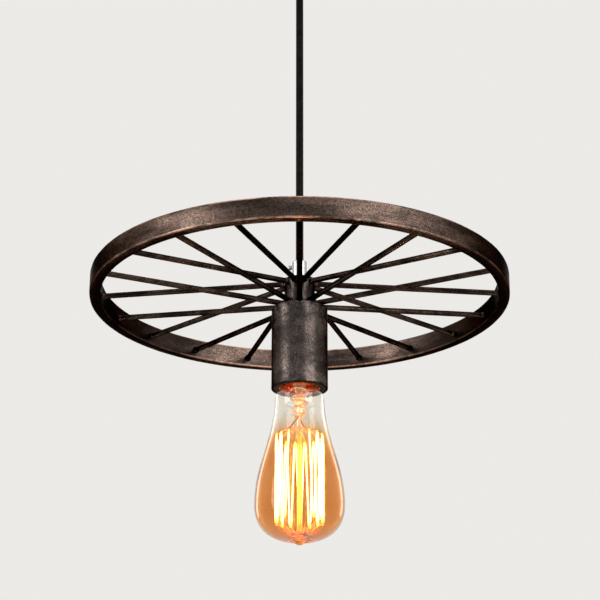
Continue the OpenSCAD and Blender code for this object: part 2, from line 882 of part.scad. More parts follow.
// A lead wire from the stem's press out to the top of the cage, in the direction given
module lead(heading) {
    up = [0, 0, 1];
    start = heading * (stem_press_r - 1) + up * stem_press_z;
    bend = start - up * 0.6;
    stop = heading * (cage_d / 2 - filament_d) + up * (cage_top + filament_d);
    route = curve([bend, bend - up * 8, stop + up * 8 - heading * 6, stop], 12);
    wire(concat([start], route), wire_d, cross(heading, up));
}

// The spiders that hold the cage open: hooks from a glass bead at each end of the rod
module bulb_supports() {
    hub_r = bead_r + 0.15;
    reach = cage_d / 2 - filament_d / 2 - 0.15;
    color("silver") {
        for (k = [2 : 2 : 2 * hook_count - 2])
            rod(polar(hub_r, turn_of(k), cage_top + hook_rise), polar(reach, turn_of(k), cage_top), wire_d);
        for (k = [1 : 2 : 2 * hook_count - 1])
            rod(polar(hub_r, turn_of(k), cage_low - hook_drop), polar(reach, turn_of(k), cage_low), wire_d);
    }
}

// The filament cage: one wire that zigzags from the first lead to the last, over all the hooks
module bulb_filament() {
    ends = [0, 2 * hook_count];
    bends = [for (k = [ends[0] : ends[1]])
        let (
            z = k % 2 == 0 ? cage_top : cage_low,
            inward = z + (k % 2 == 0 ? -filament_d : filament_d),
            step = 3
        )
        each len(search(k, ends)) > 0 ? [[turn_of(k), z]]
            : [[turn_of(k) - step, inward], [turn_of(k), z], [turn_of(k) + step, inward]]];
    color("orange")
        wire(
            [for (bend = bends) polar(cage_d / 2, bend[0], bend[1])], filament_d,
            [for (bend = bends) polar(1, bend[0], 0)], 6
        );
}

ceiling_bracket();
canopy();
canopy_screw(-1);  // canopy_screw_left
canopy_screw(1);  // canopy_screw_right
terminal_block();
terminal_sleeves();
terminal_screws();
supply_core_live();
supply_core_neutral();
supply_core_earth();
canopy_grip();
canopy_grip_nut();
canopy_grip_screw();
canopy_cable_end();
cable();
lamp_grip();
lamp_grip_screw();
lamp_cable_end();
hub();
rim();
for (i = [1 : spoke_count])
    spoke(i);
socket_cup();
nipple();
cup_nut();
lampholder_cap();
lampholder_insert();
lampholder_skirt();
lampholder_shell();
lampholder_contact();
lampholder_screws();
lamp_core_live();
lamp_core_neutral();
lamp_core_earth();
bulb_cap();
bulb_insulator();
bulb_contact();
bulb_glass();
bulb_stem();
bulb_leads();
bulb_supports();
bulb_filament();
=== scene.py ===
# Dresses the wheel pendant lamp: camera and cable first, then materials, then the refined pieces.
import math

import bmesh
import bpy
import numpy as np
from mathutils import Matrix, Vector, noise


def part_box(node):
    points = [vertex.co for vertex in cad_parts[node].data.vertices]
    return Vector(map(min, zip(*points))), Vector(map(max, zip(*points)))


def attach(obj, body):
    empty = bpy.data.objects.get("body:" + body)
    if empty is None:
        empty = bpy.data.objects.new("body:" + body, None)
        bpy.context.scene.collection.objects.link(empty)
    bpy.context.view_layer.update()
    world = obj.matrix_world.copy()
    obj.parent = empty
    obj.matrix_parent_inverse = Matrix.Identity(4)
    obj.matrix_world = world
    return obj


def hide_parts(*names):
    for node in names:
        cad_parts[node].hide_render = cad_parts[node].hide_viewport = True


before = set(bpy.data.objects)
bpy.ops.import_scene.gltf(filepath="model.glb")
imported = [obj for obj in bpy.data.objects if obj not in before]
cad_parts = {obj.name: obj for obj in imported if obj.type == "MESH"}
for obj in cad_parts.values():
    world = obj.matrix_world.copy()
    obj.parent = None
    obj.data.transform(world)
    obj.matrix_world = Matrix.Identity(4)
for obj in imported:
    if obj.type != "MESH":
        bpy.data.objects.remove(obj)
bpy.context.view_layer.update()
scene = bpy.context.scene

# Camera: the photograph's place, below the wheel and a little to the right, looking up
CAMERA_PLACE = (0.0256, -1.1838, -0.778)
CAMERA_PITCH = 21.49
CAMERA_YAW = 1.226
CAMERA_LENS = 106.5
CAMERA_SENSOR = 36

camera = bpy.data.objects.new("camera", bpy.data.cameras.new("camera"))
scene.collection.objects.link(camera)
camera.data.sensor_width = CAMERA_SENSOR
camera.data.lens = CAMERA_LENS
camera.location = CAMERA_PLACE
camera.rotation_euler = (math.radians(90 + CAMERA_PITCH), 0, math.radians(CAMERA_YAW))
scene.camera = camera

# Heights and radii that the solids give
wheel_low, wheel_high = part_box("rim")
cable_low, cable_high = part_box("cable")
hub_low, hub_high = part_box("hub")
cup_low, cup_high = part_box("socket_cup")
glass_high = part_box("bulb_glass")[1]
cage_low, cage_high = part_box("bulb_filament")
cap_low, cap_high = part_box("bulb_cap")
WHEEL_Z = (wheel_low.z + wheel_high.z) / 2
WHEEL_R = wheel_high.x
BAND = 0.008
CABLE_R = cable_high.x
LAMP_MOUTH = cable_low.z + CABLE_R
CANOPY_MOUTH = cable_high.z - CABLE_R
HUB_R = hub_high.x
CUP_R = cup_high.x
MOUTH_Z = cup_low.z

# Bulb: the same heights and radii as the solids, from the cap's lower edge down
CAP_EDGE = cap_low.z
STEM_TOP = CAP_EDGE + 0.005
FLARE_Z = CAP_EDGE + 0.0004
NECK_Z = CAP_EDGE - 0.0112
BODY_LENGTH = 0.0752
WIDEST_Z = NECK_Z - BODY_LENGTH
DOME = 0.0262
BOTTOM_Z = WIDEST_Z - DOME
CAP_NECK_R = 0.0114
NECK_R = 0.0174
BODY_R = glass_high.x
GLASS = 0.0008

# The cage: bends of the filament, its opening in degrees, and the beads that carry its hooks
TURNS = 26
CAGE_GAP = 50
CAGE_R = 0.0165
FILAMENT_R = 0.00035
CAGE_MIDDLE = (cage_low.z + cage_high.z) / 2
CAGE_REACH = (cage_high.z - cage_low.z) / 2
TOP_Z = cage_high.z - FILAMENT_R
LOW_Z = cage_low.z + FILAMENT_R
TOP_HUB = TOP_Z + 0.004
LOW_HUB = LOW_Z - 0.007

# The screw thread of the cap and the shell: its pitch, its depth and the sheet it is rolled from
THREAD_PITCH = 0.003629
THREAD_DEPTH = 0.001
THREAD_SHEET = 0.0004
CAP_R = 0.01305


# Meshes

def add_piece(name, points, faces, body, nodes, finish, wear_and_glow=None, sharp=35, painted_shade=None):
    """A mesh piece that rides on a body and takes the place of the solids it names.

    Each layer holds one value from 0 to 1 for each point: the first marks worn faces, and on the threads
    a painted orange glow; the second is painted shade, which darkens the colour.
    """
    mesh = bpy.data.meshes.new(name)
    mesh.from_pydata([tuple(p) for p in points], [], faces)
    shape = bmesh.new()
    shape.from_mesh(mesh)
    bmesh.ops.recalc_face_normals(shape, faces=shape.faces)
    shape.to_mesh(mesh)
    shape.free()
    mesh.shade_smooth()
    mesh.set_sharp_from_angle(angle=math.radians(sharp))
    for key, values in (("wear_and_glow", wear_and_glow), ("painted_shade", painted_shade)):
        if values is not None:
            layer = mesh.attributes.new(key, "FLOAT", "POINT")
            layer.data.foreach_set("value", np.array(values, np.float32))
    piece = bpy.data.objects.new(name, mesh)
    scene.collection.objects.link(piece)
    mesh.materials.append(finish)
    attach(piece, body)
    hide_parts(*nodes)


def lathe(profile, sides, shape=None, closed=True):
    """Turns a profile of (radius, height) round Z; shape moves a point.

    An open profile starts and ends on the axis.
    """
    ring = profile if closed else profile[1:-1]
    count = len(ring)
    points, faces = [], []
    for j in range(sides):
        turn = 2 * math.pi * j / sides
        for r, z in ring:
            if shape:
                r, z = shape(r, z, turn)
            points.append((r * math.cos(turn), r * math.sin(turn), z))
    for j in range(sides):
        a, b = j * count, (j + 1) % sides * count
        for i in range(count if closed else count - 1):
            n = (i + 1) % count
            faces.append((a + i, b + i, b + n, a + n))
    if not closed:
        start, end = len(points), len(points) + 1
        points += [(0, 0, profile[0][1]), (0, 0, profile[-1][1])]
        for j in range(sides):
            a, b = j * count, (j + 1) % sides * count
            faces += [(start, b, a), (end, a + count - 1, b + count - 1)]
    return points, faces


def arc(r, z, radius, start, end, steps):
    """Profile points on a corner's arc, from one angle to another in degrees."""
    angles = [math.radians(start + (end - start) * i / steps) for i in range(steps + 1)]
    return [(r + radius * math.cos(a), z + radius * math.sin(a)) for a in angles]


def frames(path):
    """Each point of the path with two directions square to it, which turn as little as they can."""
    heading = (path[1] - path[0]).normalized()
    across = heading.orthogonal().normalized()
    for i, p in enumerate(path):
        ahead = (path[min(i + 1, len(path) - 1)] - path[max(i - 1, 0)]).normalized()
        across = (across - ahead * across.dot(ahead)).normalized()
        yield p, across, ahead.cross(across)


def tube(path, radius, sides):
    """A closed tube along the path; radius is one number or one for each point."""
    path = [Vector(p) for p in path]
    radii = radius if hasattr(radius, "__len__") else [radius] * len(path)
    points, faces = [], []
    for i, (p, across, side) in enumerate(frames(path)):
        for j in range(sides):
            a = 2 * math.pi * j / sides
            points.append(p + radii[i] * (across * math.cos(a) + side * math.sin(a)))
    for i in range(len(path) - 1):
        for j in range(sides):
            k = (j + 1) % sides
            faces.append((i * sides + j, i * sides + k, (i + 1) * sides + k, (i + 1) * sides + j))
    faces.append(tuple(range(sides - 1, -1, -1)))
    faces.append(tuple((len(path) - 1) * sides + j for j in range(sides)))
    return points, faces


def join(*meshes):
    """Several (points, faces) as one."""
    points, faces = [], []
    for more_points, more_faces in meshes:
        start = len(points)
        points += list(more_points)
        faces += [tuple(i + start for i in face) for face in more_faces]
    return points, faces


def smooth_path(points, steps):
    """A smooth curve through the points."""
    points = [Vector(p) for p in points]
    ends = [2 * points[0] - points[1]] + points + [2 * points[-1] - points[-2]]
    path = []
    for i in range(1, len(ends) - 2):
        a, b, c, d = ends[i - 1:i + 3]
        for s in range(steps):
            t = s / steps
            path.append(0.5 * (2 * b + (c - a) * t + (2 * a - 5 * b + 4 * c - d) * t * t
                               + (3 * b - a - 3 * c + d) * t ** 3))
    return path + [points[-1]]


def ease(t):
    """Half a cosine wave, from 0 to 1."""
    return (1 - math.cos(math.pi * t)) / 2


def fade_in(value, start, reach):
    """0 up to the start, 1 from start + reach on, and smooth between."""
    return ease(min(1.0, max(0.0, (value - start) / reach)))


def polar(r, turn, z):
    """The place at a radius, an angle round Z and a height."""
    return Vector((r * math.cos(turn), r * math.sin(turn), z))


def rough(place, scale, depth):
    """A small push in or out at a place, the same on every run."""
    return depth * noise.noise(Vector(place) * scale)


# Materials

class Finish:
    """A node material: the Principled shader and short ways to make the nodes that feed it."""

    def __init__(self, name, **sockets):
        self.material = bpy.data.materials.new(name)
        self.material.use_nodes = True
        self.tree = self.material.node_tree
        self.shader = self.tree.nodes["Principled BSDF"]
        self.place = self.node("ShaderNodeTexCoord").outputs["Object"]
        for key, value in sockets.items():
            self.shader.inputs[key.replace("_", " ")].default_value = value

    def node(self, kind, **options):
        """A new node with its options set."""
        made = self.tree.nodes.new(kind)
        for key, value in options.items():
            setattr(made, key, value)
        return made

    def feed(self, socket, value):
        """Links another node's output to the socket, or sets a plain value on it."""
        if isinstance(value, bpy.types.NodeSocket):
            self.tree.links.new(value, socket)
        else:
            socket.default_value = value

    def set(self, name, value):
        """Feeds a socket of the shader."""
        self.feed(self.shader.inputs[name], value)

    def math(self, operation, a, b=0.0):
        made = self.node("ShaderNodeMath", operation=operation)
        self.feed(made.inputs[0], a)
        self.feed(made.inputs[1], b)
        return made.outputs[0]

    def noise(self, scale, detail=4.0, roughness=0.6, where=None):
        made = self.node("ShaderNodeTexNoise")
        self.feed(made.inputs["Vector"], where or self.place)
        self.feed(made.inputs["Scale"], scale)
        self.feed(made.inputs["Detail"], detail)
        self.feed(made.inputs["Roughness"], roughness)
        return made.outputs["Fac"]

    def band(self, value, low, high, start=0.0, end=1.0):
        """The value mapped from low..high to start..end, smooth at both ends."""
        made = self.node("ShaderNodeMapRange", interpolation_type="SMOOTHSTEP")
        for key, number in zip(("Value", "From Min", "From Max", "To Min", "To Max"),
                               (value, low, high, start, end)):
            self.feed(made.inputs[key], number)
        return made.outputs["Result"]

    def mix(self, share, a, b):
        """Colour a where the share is 0 and colour b where it is 1."""
        made = self.node("ShaderNodeMix", data_type="RGBA")
        self.feed(made.inputs["Factor"], share)
        for key, value in (("A", a), ("B", b)):
            socket = [s for s in made.inputs if s.name == key and s.type == "RGBA"][0]
            self.feed(socket, value if isinstance(value, bpy.types.NodeSocket) else (*value, 1))
        return [s for s in made.outputs if s.type == "RGBA"][0]

    def axes(self):
        """X, Y and Z of the place on the object."""
        made = self.node("ShaderNodeSeparateXYZ")
        self.feed(made.inputs[0], self.place)
        return made.outputs

    def height(self):
        return self.axes()[2]

    def radius(self):
        """The distance from the Z axis."""
        x, y, _ = self.axes()
        squares = self.math("ADD", self.math("MULTIPLY", x, x), self.math("MULTIPLY", y, y))
        return self.math("SQRT", squares)

    def vector(self, x, y, z):
        made = self.node("ShaderNodeCombineXYZ")
        for socket, value in zip(made.inputs, (x, y, z)):
            self.feed(socket, value)
        return made.outputs[0]

    def layer(self, name):
        """A value that the mesh holds for each of its points."""
        return self.node("ShaderNodeAttribute", attribute_name=name).outputs["Fac"]

    def bump(self, height, depth, strength=1.0):
        made = self.node("ShaderNodeBump")
        self.feed(made.inputs["Height"], height)
        made.inputs["Distance"].default_value = depth
        made.inputs["Strength"].default_value = strength
        self.set("Normal", made.outputs[0])

    def round_vector(self, stretch):
        """A place whose pattern runs round Z, drawn out along the turn."""
        x, y, z = self.axes()
        radius = self.radius()
        size = self.math("DIVIDE", stretch, self.math("MAXIMUM", radius, 0.001))
        return self.vector(self.math("MULTIPLY", x, size), self.math("MULTIPLY", y, size),
                           self.math("ADD", z, radius))


def antique(name, dark, mid, copper, pale, worn, stretch, fine, gloss):
    """Antique bronze: a dark patina with a fine brown mottle, brushed through to copper.

    The copper shows in patches, and the worn colour where the mesh has wear.
    """
    f = Finish(name, Metallic=1.0, Specular_Tint=(0.10, 0.08, 0.07, 1))
    turned = f.round_vector(stretch)
    mottle = f.noise(800 * fine, 6.0, 0.78, turned)
    patch = f.noise(55 * fine, 5.0, 0.6, turned)
    streak = f.noise(150, 4.0, 0.65, f.round_vector(0.015))
    grain = f.noise(2200, 2.0, 0.7)
    base = f.mix(f.band(mottle, 0.34, 0.66), dark, mid)
    cloud = f.math("ADD", f.math("MULTIPLY", patch, 0.65), f.math("MULTIPLY", streak, 0.35))
    show = f.math("MULTIPLY", f.band(cloud, 0.44, 0.62), f.band(mottle, 0.36, 0.66, 0.15, 1.0))
    base = f.mix(f.math("MULTIPLY", show, 0.85), base, copper)
    speck = f.math("MULTIPLY", f.band(grain, 0.50, 0.64), f.band(cloud, 0.36, 0.58))
    base = f.mix(f.math("MULTIPLY", speck, 0.6), base, pale)
    pits = f.band(f.noise(1300, 2.0, 0.5), 0.60, 0.70)
    base = f.mix(f.math("MULTIPLY", pits, 0.65), base, dark)
    scuff = f.band(f.noise(70, 5.0, 0.75, turned), 0.40, 0.58)
    base = f.mix(f.math("MULTIPLY", f.layer("wear_and_glow"), scuff), base, worn)
    # Painted shade: the mesh's second layer darkens the colour to the dark patina.
    base = f.mix(f.layer("painted_shade"), base, dark)
    f.set("Base Color", base)
    f.set("Roughness", f.math("ADD", f.band(cloud, 0.3, 0.7, gloss * 1.25, gloss * 0.85),
                              f.math("MULTIPLY", speck, -0.06)))
    f.bump(f.math("ADD", f.math("MULTIPLY", mottle, 0.6), f.math("MULTIPLY", cloud, 0.8)), 0.0003, 0.35)
    return f.material


def bright_metal(name, color, roughness, tarnish, share, scale=160, inside=None):
    """Plated or plain metal with faint turning lines and a cloud of tarnish.

    inside is the painted glow colour for the faces that the mesh's wear layer marks.
    """
    f = Finish(name, Metallic=1.0)
    cloud = f.noise(scale, 5.0, 0.6)
    lines = f.noise(900, 2.0, 0.5, f.round_vector(0.0004))
    stain = f.math("MULTIPLY", f.band(cloud, 0.45, 0.7), share)
    base = f.mix(stain, color, tarnish)
    f.set("Base Color", f.mix(f.layer("wear_and_glow"), base, inside) if inside else base)
    f.set("Roughness", f.math("ADD", f.band(cloud, 0.3, 0.7, roughness * 0.7, roughness * 1.5),
                              f.math("MULTIPLY", lines, roughness * 0.4)))
    f.bump(f.math("ADD", lines, f.math("MULTIPLY", cloud, 0.4)), 0.00012, 0.35)
    return f.material


def moulded(name, color, second, roughness):
    """Moulded plastic, glass or ceramic with a faint cloud of colour and a fine skin."""
    f = Finish(name)
    cloud = f.noise(220, 4.0, 0.55)
    skin = f.noise(2600, 2.0, 0.5)
    f.set("Base Color", f.mix(f.band(cloud, 0.35, 0.68), color, second))
    f.set("Roughness", f.band(cloud, 0.3, 0.7, roughness * 0.8, roughness * 1.25))
    f.bump(f.math("ADD", skin, cloud), 0.0001, 0.3)
    return f.material


def bakelite():
    """Black bakelite whose bore is painted orange: painted light of the lit shell."""
    f = Finish("bakelite", Specular_IOR_Level=0.02)
    # Painted light: an orange glow on the bore's face.
    bore = f.band(f.radius(), 0.0142, 0.0145, 1.0, 0.0)
    cloud = f.noise(220, 4.0, 0.55)
    black = f.mix(f.band(cloud, 0.35, 0.68), (0.0022, 0.0020, 0.0020), (0.0045, 0.0040, 0.0036))
    f.set("Base Color", f.mix(bore, black, (0.26, 0.085, 0.028)))
    f.set("Roughness", f.band(cloud, 0.3, 0.7, 0.40, 0.62))
    f.bump(f.math("ADD", f.noise(2600, 2.0, 0.5), cloud), 0.0001, 0.3)
    return f.material


def see_through(f, tint):
    """Lets the lamps' light through a glass as if it were clear, in its own tint."""
    links = f.tree.links
    clear = f.node("ShaderNodeBsdfTransparent")
    clear.inputs[0].default_value = (*tint, 1)
    blend = f.node("ShaderNodeMixShader")
    rays = f.node("ShaderNodeLightPath")
    output = f.tree.nodes["Material Output"]
    links.new(rays.outputs["Is Shadow Ray"], blend.inputs[0])
    links.new(f.shader.outputs[0], blend.inputs[1])
    links.new(clear.outputs[0], blend.inputs[2])
    links.new(blend.outputs[0], output.inputs["Surface"])


def amber_glass():
    """Blown glass: amber below the cage's top, clear above it, a copper tint at the sealed tip, and a
    painted orange glow inside the cup.
    """
    f = Finish("amber_glass", IOR=1.45)
    depth = f.band(f.height(), TOP_Z - 0.012, TOP_Z + 0.016, 1.0, 0.0)
    cloud = f.band(f.noise(45, 3.0, 0.5), 0.3, 0.7)
    amber = f.mix(cloud, (0.83, 0.45, 0.14), (0.87, 0.52, 0.20))
    seal = f.band(f.height(), BOTTOM_Z + 0.001, BOTTOM_Z + 0.006, 1.0, 0.0)
    tip = f.band(f.height(), BOTTOM_Z - 0.0008, BOTTOM_Z + 0.0006, 1.0, 0.0)
    f.set("Roughness", f.math("MULTIPLY", tip, 0.18))
    f.set("Transmission Weight", f.math("SUBTRACT", 1.0, f.math("MULTIPLY", tip, 0.6)))
    amber = f.mix(seal, amber, (0.84, 0.36, 0.13))
    # Painted light: the clear glass inside the cup is tinted orange for the lit interior.
    painted_glow_in_cup = f.band(f.height(), MOUTH_Z - 0.001, MOUTH_Z + 0.0015)
    clear = f.mix(painted_glow_in_cup, (0.93, 0.90, 0.84), (0.88, 0.38, 0.14))
    f.set("Base Color", f.mix(depth, clear, amber))
    f.bump(f.noise(48, 2.0, 0.4), 0.0009, 0.25)
    see_through(f, (0.97, 0.86, 0.66))
    return f.material


def stem_glass():
    """Clear pressed glass with painted light: a cream tint and an emitted glow stand for the filament's
    light inside the cage and below the mouth, and an orange tint at the mouth for the lit interior.
    """
    f = Finish("stem_glass", Roughness=0.0, IOR=1.5)
    lit = f.band(f.height(), TOP_Z - 0.004, TOP_Z + 0.006, 1.0, 0.0)
    clear = f.mix(f.noise(200, 3.0, 0.5), (0.96, 0.95, 0.90), (0.90, 0.86, 0.76))
    # Painted light: an orange tint at the mouth's height.
    clear = f.mix(f.band(f.height(), MOUTH_Z - 0.002, MOUTH_Z + 0.002), clear, (0.86, 0.36, 0.13))
    f.set("Base Color", f.mix(lit, clear, (0.96, 0.88, 0.50)))
    f.set("Transmission Weight", f.math("SUBTRACT", 1.0, f.math("MULTIPLY", lit, 0.35)))
    # Painted light: the stem glows by emission, though it is no lamp.
    press = f.band(f.height(), NECK_Z - 0.006, MOUTH_Z)
    f.set("Emission Color", f.mix(press, (1.0, 0.46, 0.13), (1.0, 0.70, 0.36)))
    rising = f.band(f.height(), TOP_Z, MOUTH_Z - 0.009, 0.05, 0.45)
    fading = f.band(f.height(), MOUTH_Z - 0.009, MOUTH_Z - 0.002, 1.0, 0.15)
    f.set("Emission Strength", f.math("MULTIPLY", rising, fading))
    f.bump(f.noise(120, 2.0, 0.5), 0.0006, 0.4)
    see_through(f, (0.96, 0.93, 0.86))
    return f.material


def glowing():
    """The lit filament: hottest in the middle of each run and cooler at the bends."""
    f = Finish("filament", Roughness=0.5)
    off = f.math("ABSOLUTE", f.math("SUBTRACT", f.height(), CAGE_MIDDLE))
    off = f.math("DIVIDE", off, CAGE_REACH)
    heat = f.band(off, 0.80, 1.0, 1.0, 0.0)
    flicker = f.noise(150, 2.0, 0.5)
    f.set("Base Color", f.mix(flicker, (0.9, 0.45, 0.12), (1.0, 0.6, 0.2)))
    f.set("Emission Color", f.mix(heat, (1.0, 0.50, 0.14), (1.0, 0.92, 0.80)))
    strength = f.band(off, 0.80, 1.0, 13.0, 4.0)
    f.set("Emission Strength", f.math("MULTIPLY", f.math("ADD", flicker, 0.6), strength))
    return f.material


def striped(color, second, scale):
    """The two colours of an earth core, in slanting stripes."""
    f = Finish("core_green_yellow")
    wave = f.node("ShaderNodeTexWave", wave_type="BANDS", bands_direction="DIAGONAL")
    f.feed(wave.inputs["Vector"], f.place)
    wave.inputs["Scale"].default_value = scale
    wave.inputs["Distortion"].default_value = 0.6
    f.set("Base Color", f.mix(f.band(wave.outputs["Fac"], 0.45, 0.55), color, second))
    f.set("Roughness", f.band(f.noise(300), 0.3, 0.7, 0.36, 0.5))
    f.bump(f.noise(1500, 2.0, 0.5), 0.0001, 0.3)
    return f.material


def black_cable():
    """A glossy black sheath with fine drawing lines along it."""
    f = Finish("cable_black", Specular_IOR_Level=0.05)
    x, y, z = f.axes()
    across, along = 1800, 18
    drawn = f.vector(f.math("MULTIPLY", x, across), f.math("MULTIPLY", y, across),
                     f.math("MULTIPLY", z, along))
    lines = f.noise(1.0, 3.0, 0.6, drawn)
    marks = f.noise(160, 4.0, 0.6)
    f.set("Base Color", f.mix(f.band(marks, 0.4, 0.7), (0.005, 0.004, 0.004), (0.010, 0.008, 0.008)))
    f.set("Roughness", f.band(marks, 0.3, 0.7, 0.22, 0.36))
    f.bump(f.math("ADD", lines, f.math("MULTIPLY", marks, 0.6)), 0.0002, 0.25)
    return f.material


IRON = antique("iron", (0.018, 0.012, 0.010), (0.055, 0.038, 0.031), (0.17, 0.105, 0.085),
               (0.42, 0.32, 0.27), (0.56, 0.34, 0.25), stretch=0.07, fine=1.0, gloss=0.30)
ROD_IRON = antique("rod_iron", (0.005, 0.004, 0.003), (0.014, 0.009, 0.007), (0.058, 0.034, 0.024),
                   (0.16, 0.11, 0.09), (0.09, 0.058, 0.044), stretch=0.3, fine=1.0, gloss=0.26)
CUP_IRON = antique("cup_iron", (0.022, 0.019, 0.019), (0.060, 0.051, 0.048), (0.16, 0.115, 0.095),
                   (0.42, 0.35, 0.32), (0.010, 0.008, 0.007), stretch=0.02, fine=0.9, gloss=0.28)
HUB_IRON = antique("hub_iron", (0.010, 0.008, 0.008), (0.026, 0.022, 0.021), (0.078, 0.058, 0.050),
                   (0.24, 0.20, 0.18), (0.010, 0.008, 0.007), stretch=0.02, fine=0.9, gloss=0.28)
CHROME = bright_metal("chrome", (0.52, 0.53, 0.55), 0.09, (0.38, 0.38, 0.40), 0.5)
ZINC = bright_metal("zinc", (0.60, 0.61, 0.63), 0.30, (0.50, 0.49, 0.44), 0.8)
BRASS = bright_metal("brass", (0.74, 0.52, 0.22), 0.24, (0.45, 0.27, 0.10), 0.8)
# Painted light: the threads' inner faces take this orange glow of the lit bulb.
CAP_BRASS = bright_metal("cap_brass", (0.74, 0.54, 0.27), 0.26, (0.48, 0.31, 0.14), 0.8,
                         inside=(0.80, 0.31, 0.12))
COPPER = bright_metal("wire", (0.86, 0.48, 0.27), 0.30, (0.55, 0.26, 0.12), 0.6)
SOLDER = bright_metal("solder", (0.66, 0.66, 0.65), 0.35, (0.45, 0.44, 0.42), 0.8, scale=400)
BAKELITE = bakelite()
BLACK_GLASS = moulded("black_glass", (0.012, 0.011, 0.012), (0.022, 0.020, 0.024), 0.16)
CERAMIC = moulded("insert_ceramic", (0.82, 0.80, 0.74), (0.74, 0.71, 0.64), 0.50)
BLOCK = moulded("block_plastic", (0.78, 0.75, 0.68), (0.70, 0.67, 0.60), 0.45)
BROWN = moulded("core_brown", (0.16, 0.055, 0.020), (0.20, 0.075, 0.030), 0.40)
BLUE = moulded("core_blue", (0.035, 0.12, 0.42), (0.045, 0.15, 0.50), 0.40)
GREEN_YELLOW = striped((0.06, 0.30, 0.04), (0.75, 0.62, 0.05), 90)
CABLE_BLACK = black_cable()
AMBER = amber_glass()
STEM = stem_glass()
GLOW = glowing()

# The cable first: straight and taut between the two grips
CABLE_STEPS = 24
curve = bpy.data.curves.new("pendant_cable", "CURVE")
curve.dimensions = "3D"
curve.bevel_depth = CABLE_R
curve.bevel_resolution = 6
curve.use_fill_caps = True
spline = curve.splines.new("POLY")
spline.points.add(CABLE_STEPS)
for i, point in enumerate(spline.points):
    point.co = (0, 0, CANOPY_MOUTH + (LAMP_MOUTH - CANOPY_MOUTH) * i / CABLE_STEPS, 1)
curve.materials.append(CABLE_BLACK)
cable = bpy.data.objects.new("pendant_cable", curve)
scene.collection.objects.link(cable)
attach(cable, "cable")
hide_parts("cable")

# The solids that keep their own shape, by finish
KEPT = [
    (ZINC, ["ceiling_bracket", "canopy_screw_left", "canopy_screw_right", "terminal_screws",
            "canopy_grip_nut", "cup_nut", "lampholder_screws"]),
    (BLOCK, ["terminal_block"]),
    (BRASS, ["terminal_sleeves", "nipple", "lampholder_contact"]),
    (BROWN, ["supply_core_live", "lamp_core_live"]),
    (BLUE, ["supply_core_neutral", "lamp_core_neutral"]),
    (GREEN_YELLOW, ["supply_core_earth", "lamp_core_earth"]),
    (CHROME, ["canopy_grip", "canopy_grip_screw", "lamp_grip", "lamp_grip_screw"]),
    (CABLE_BLACK, ["canopy_cable_end", "lamp_cable_end"]),
    (IRON, ["canopy"]),
    (BAKELITE, ["lampholder_cap", "lampholder_skirt"]),
    (CERAMIC, ["lampholder_insert"]),
    (BLACK_GLASS, ["bulb_insulator"]),
    (SOLDER, ["bulb_contact"]),
]
for material, names in KEPT:
    for name in names:
        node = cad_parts[name]
        node.data.materials.clear()
        node.data.materials.append(material)


# The wheel

def rim():
    """The flat band, rolled from strip iron: soft corners and a slightly uneven face.

    Its edges are worn bright, and towards the two sides the bright edges fade and the band is painted
    darker: painted shade.
    """
    inside, outside = WHEEL_R - BAND, WHEEL_R
    low, high = wheel_low.z, wheel_high.z
    corner, next_to, inset, sides = 0.0008, 0.0012, 0.00012, 360
    faces_z = [low + next_to + (high - low - 2 * next_to) * k / 5 for k in range(6)]
    outline = (arc(outside - corner, low + corner, corner, -90, 0, 3)
               + [(outside, z) for z in faces_z]
               + arc(outside - corner, high - corner, corner, 0, 90, 3)
               + [(outside - next_to, high), (inside + next_to, high)]
               + arc(inside + corner, high - corner, corner, 90, 180, 3)
               + [(inside, z) for z in faces_z[::-1]]
               + arc(inside + corner, low + corner, corner, 180, 270, 3)
               + [(inside + next_to, low), (outside - next_to, low)])
    edge = next_to * 0.9
    worn = [1.0 if min(r - inside, outside - r) < edge and min(z - low, high - z) < edge else 0.0
            for r, z in outline]

    def shape(r, z, turn):
        place = polar(r, turn, z)
        return r - inset + rough(place, 70, 0.00012) + rough(place, 400, 0.00005), z

    points, faces = lathe(outline, sides, shape)
    wear_and_glow, painted_shade = [], []
    for j in range(sides):
        sideways = math.cos(2 * math.pi * j / sides)
        off_side = abs(sideways)
        # Painted shade: towards the two sides the worn edges fade and both faces are painted darker, the
        # inner face sooner.
        start, reach = (0.66, 0.18) if sideways > 0 else (0.80, 0.16)
        inner = 0.8 * fade_in(off_side, 0.45, 0.35)
        outer = 0.55 * fade_in(off_side, start, reach)
        wear_and_glow += [w * (1 - 0.7 * off_side) for w in worn]
        painted_shade += [inner if r < inside + 0.0015 else outer for r, z in outline]
    add_piece("rim_band", points, faces, "lamp", ["rim"], IRON, wear_and_glow, painted_shade=painted_shade)


